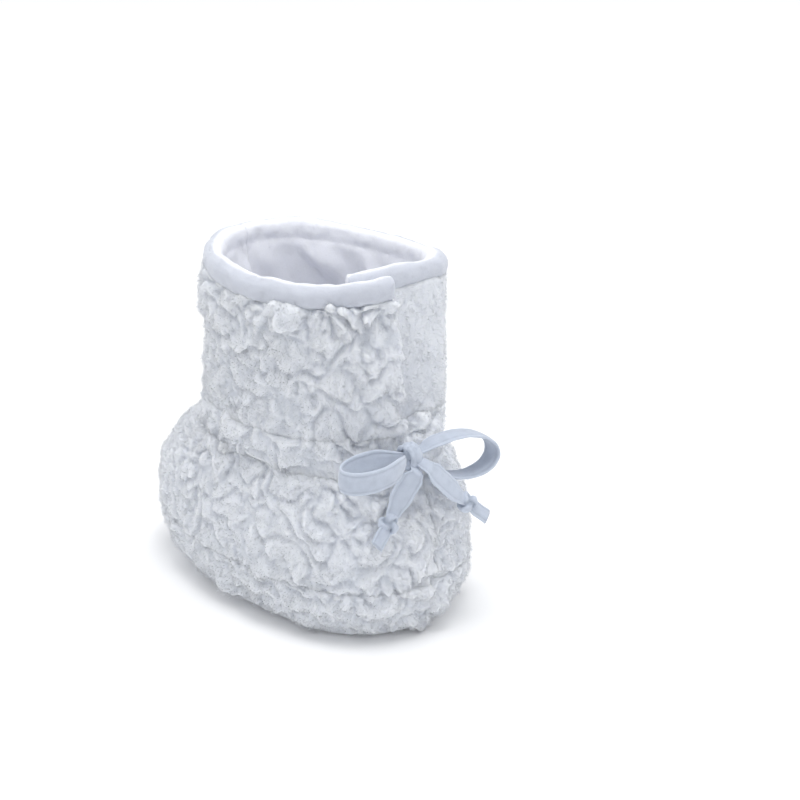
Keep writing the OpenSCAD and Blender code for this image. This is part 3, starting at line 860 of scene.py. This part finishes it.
finished(overhand_knot("knot_ribbon_right", "tail_knot_right", (-0.5, -0.8, 0.4), 0.4), velvet, "ribbon",
    "tail_right", "tail_knot_right")
finished(overhand_knot("knot_ribbon_left", "tail_knot_left", (-0.3, -0.9, 0.4), 1.3), velvet, "ribbon",
    "tail_left", "tail_knot_left")


def make_bow_wrap(name):
    """The ribbon's turn round the middle of the bow, pulled tight over the gathered ribbon."""
    low, high = box("bow_knot")
    middle, half = (low + high) / 2, (high - low) / 2
    path = []
    for k in range(72):
        a = k * math.tau / 72
        x, y = math.cos(a), math.sin(a)
        path.append(middle + (half[2] - 0.3 * MM) * np.sign(y) * abs(y) ** 0.8 * UP
            - (half[1] - 0.1 * MM) * np.array([0.25 * y * 0.2, x, 0]))
    band = closed_tube(name, band_section(path, 4.6 * MM, 1.5 * MM, middle))
    joined(band, inflated(copy_nodes("heart", "bow_knot"), -0.9 * MM))
    remeshed(band, 0.26 * MM, smooth=3)
    p, n = points_of(band), normals_of(band)
    crease = billows((p - middle) * (1, 1, 0.25), 1.6 * MM, 114)
    set_points(band, p + n * ((0.5 * crease - 0.15) * MM + 0.06 * MM * waves(p, 0.8 * MM, 115))[:, None])
    # Lighter on the ridges of the creases and darker in them: painted shade, with random tone.
    store(band, "edge", np.clip(0.25 + 0.7 * crease + 0.2 * waves(p, 1.5 * MM, 116), 0, 1))
    return band


finished(make_bow_wrap("bow_wrap"), velvet, "ribbon", "foot", "bow_knot")

# ---- The threads


def stitch_ends(node_name):
    """Both ends of each separate stitch of a CAD node."""
    copy = copy_nodes("stitches", node_name)
    mesh = bmesh.new()
    mesh.from_mesh(copy.data)
    bpy.data.objects.remove(copy)
    left = set(mesh.verts)
    ends = []
    while left:
        stack, part = [left.pop()], []
        while stack:
            vertex = stack.pop()
            part.append(vertex)
            for edge in vertex.link_edges:
                other = edge.other_vert(vertex)
                if other in left:
                    left.discard(other)
                    stack.append(other)
        points = np.array([v.co for v in part])
        middle = points.mean(axis=0)
        axis = np.linalg.svd(points - middle)[2][0]
        along = (points - middle) @ axis
        ends.append((middle + axis * along.min(), middle + axis * along.max()))
    mesh.free()
    return sorted(ends, key=lambda e: tuple(e[0]))


def make_thread(name, node_name, sag):
    """Two twisted plies for each stitch, drawn a little into the fabric at both ends."""
    vertices, faces, plies = [], [], []
    steps, sides, radius = 10, 8, 0.17 * MM
    for start, end in stitch_ends(node_name):
        forward = unit(end - start)
        a = unit(np.cross(forward, UP + 0.1))
        b = np.cross(forward, a)
        inward = unit(core_of(start[None])[0] - start)
        for ply in range(2):
            first = len(vertices)
            for i in range(steps + 1):
                t = i / steps
                twist = math.tau * (1.5 * t + ply / 2)
                middle = start + (end - start) * t + inward * sag * (0.4 + 0.6 * (2 * t - 1) ** 2)
                middle = middle + (a * math.cos(twist) + b * math.sin(twist)) * radius * 0.8
                for j in range(sides):
                    turn = j * math.tau / sides
                    vertices.append(middle + (a * math.cos(turn) + b * math.sin(turn)) * radius)
                    plies.append(0.5 + 0.5 * math.cos(twist))
            faces += [(first + i * sides + j, first + i * sides + (j + 1) % sides,
                first + (i + 1) * sides + (j + 1) % sides, first + (i + 1) * sides + j)
                for i in range(steps) for j in range(sides)]
            faces += [tuple(first + j for j in reversed(range(sides))),
                tuple(first + steps * sides + j for j in range(sides))]
    obj = new_object(name, vertices, faces)
    store(obj, "ply", np.array(plies))
    return obj


for name, node_name, body, sag in (
        ("sole_thread", "sole_seam_thread", "foot", 1.2 * MM),
        ("toe_thread", "toe_seam_thread", "foot", 1.2 * MM),
        ("heel_thread", "heel_seam_thread", "foot", 1.2 * MM),
        ("back_thread", "back_seam_thread", "leg", 1.2 * MM),
        ("hook_tape_thread", "tape_thread_hook", "flap", 0.0),
        ("loop_tape_thread", "tape_thread_loop", "leg", 0.0),
        ("bow_thread", "bow_tack_thread", "foot", 0.0)):
    finished(make_thread(name, node_name, sag), cotton, "thread", body, node_name)

# ---- Pieces tied to no body, with their placement put into their meshes, and the flap's fold line from its joint

for piece in (ankle, ankle_lining, elastic):
    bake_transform(piece)

flap_joint = next(j for j in frame["joints"] if j["name"] == "flap_open")
fold_at = np.array(flap_joint["pos_m"])
fold_axis = unit(np.array(flap_joint["axis"]))
flap_middle = sum(np.array(corner) for corner in box("flap_panel")) / 2
fold_middle = fold_at + fold_axis * ((flap_middle - fold_at) @ fold_axis)
fold_out = unit(fold_middle * (1, 1, 0))
fold_normal = unit(np.cross(fold_axis, fold_out))
fold_normal *= np.sign((flap_middle - fold_at) @ fold_normal)
fold_normal = unit(fold_normal + 0.17 * fold_out)    # tilts the fold's plane a little outwards
for piece in (leg_right, lining_right):
    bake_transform(piece)

# ---- Stage, light and camera


def stage():
    size = 1.4
    corners = [(-size, -size, 0), (size, -size, 0), (size, size, 0), (-size, size, 0)]
    floor = new_object("floor", corners, [(0, 1, 2, 3)])
    floor.location.z = cad_low.z - 0.2 * MM
    m, tree, shader = material("floor")
    place = node(tree, "ShaderNodeTexCoord").outputs["Object"]
    grain = node(tree, "ShaderNodeTexNoise", {"Vector": place, "Scale": 6.0}).outputs["Fac"]
    paper = ramp(tree, grain, (0.3, (0.98, 0.98, 0.985)), (0.7, (0.995, 0.995, 0.995)))
    tree.links.new(paper, shader.inputs["Base Color"])
    shader.inputs["Roughness"].default_value = 0.9
    floor.data.materials.append(m)


def area_light(name, place, size, power, target=(0, 0, 0.05)):
    data = bpy.data.lights.new(name, "AREA")
    data.size = size
    data.energy = power
    light = bpy.data.objects.new(name, data)
    light.location = place
    light.rotation_mode = "QUATERNION"
    light.rotation_quaternion = (Vector(target) - Vector(place)).to_track_quat("-Z", "Y")
    bpy.context.scene.collection.objects.link(light)


def lights():
    world = bpy.data.worlds.new("studio")
    world.use_nodes = True
    back = world.node_tree.nodes["Background"]
    back.inputs["Color"].default_value = (0.97, 0.98, 1.0, 1)
    back.inputs["Strength"].default_value = 0.66
    bpy.context.scene.world = world
    area_light("top", (-0.07, -0.15, 0.95), 0.45, 4.2)
    area_light("right", (0.75, -0.2, 0.45), 0.7, 1.2)
    area_light("front", (-0.45, -0.95, 0.55), 0.7, 0.4)
    area_light("behind", (-0.25, 0.85, 0.95), 0.8, 3.0, (-0.2, 0.7, 0))
    bpy.context.scene.view_settings.view_transform = "Standard"


AZIMUTH = math.radians(-44)
ELEVATION = math.radians(24.1)
DISTANCE = 0.9
FOCAL_LENGTH = 137
AIM_RIGHT = 24 * MM          # the bootie stands left of the middle and a little low
AIM_UP = 8.4 * MM


def camera():
    data = bpy.data.cameras.new("camera")
    data.lens = FOCAL_LENGTH
    data.clip_start = 0.05
    cam = bpy.data.objects.new("camera", data)
    back = Vector((math.sin(AZIMUTH) * math.cos(ELEVATION), -math.cos(AZIMUTH) * math.cos(ELEVATION),
        math.sin(ELEVATION)))
    right = Vector((math.cos(AZIMUTH), math.sin(AZIMUTH), 0))
    up = back.cross(right)
    middle = Vector((0, 0, 0.05))
    aim = middle + right * AIM_RIGHT + up * AIM_UP
    cam.location = middle + back * DISTANCE
    cam.rotation_mode = "QUATERNION"
    cam.rotation_quaternion = (cam.location - aim).to_track_quat("Z", "Y")
    bpy.context.scene.collection.objects.link(cam)
    bpy.context.scene.camera = cam


stage()
lights()
camera()
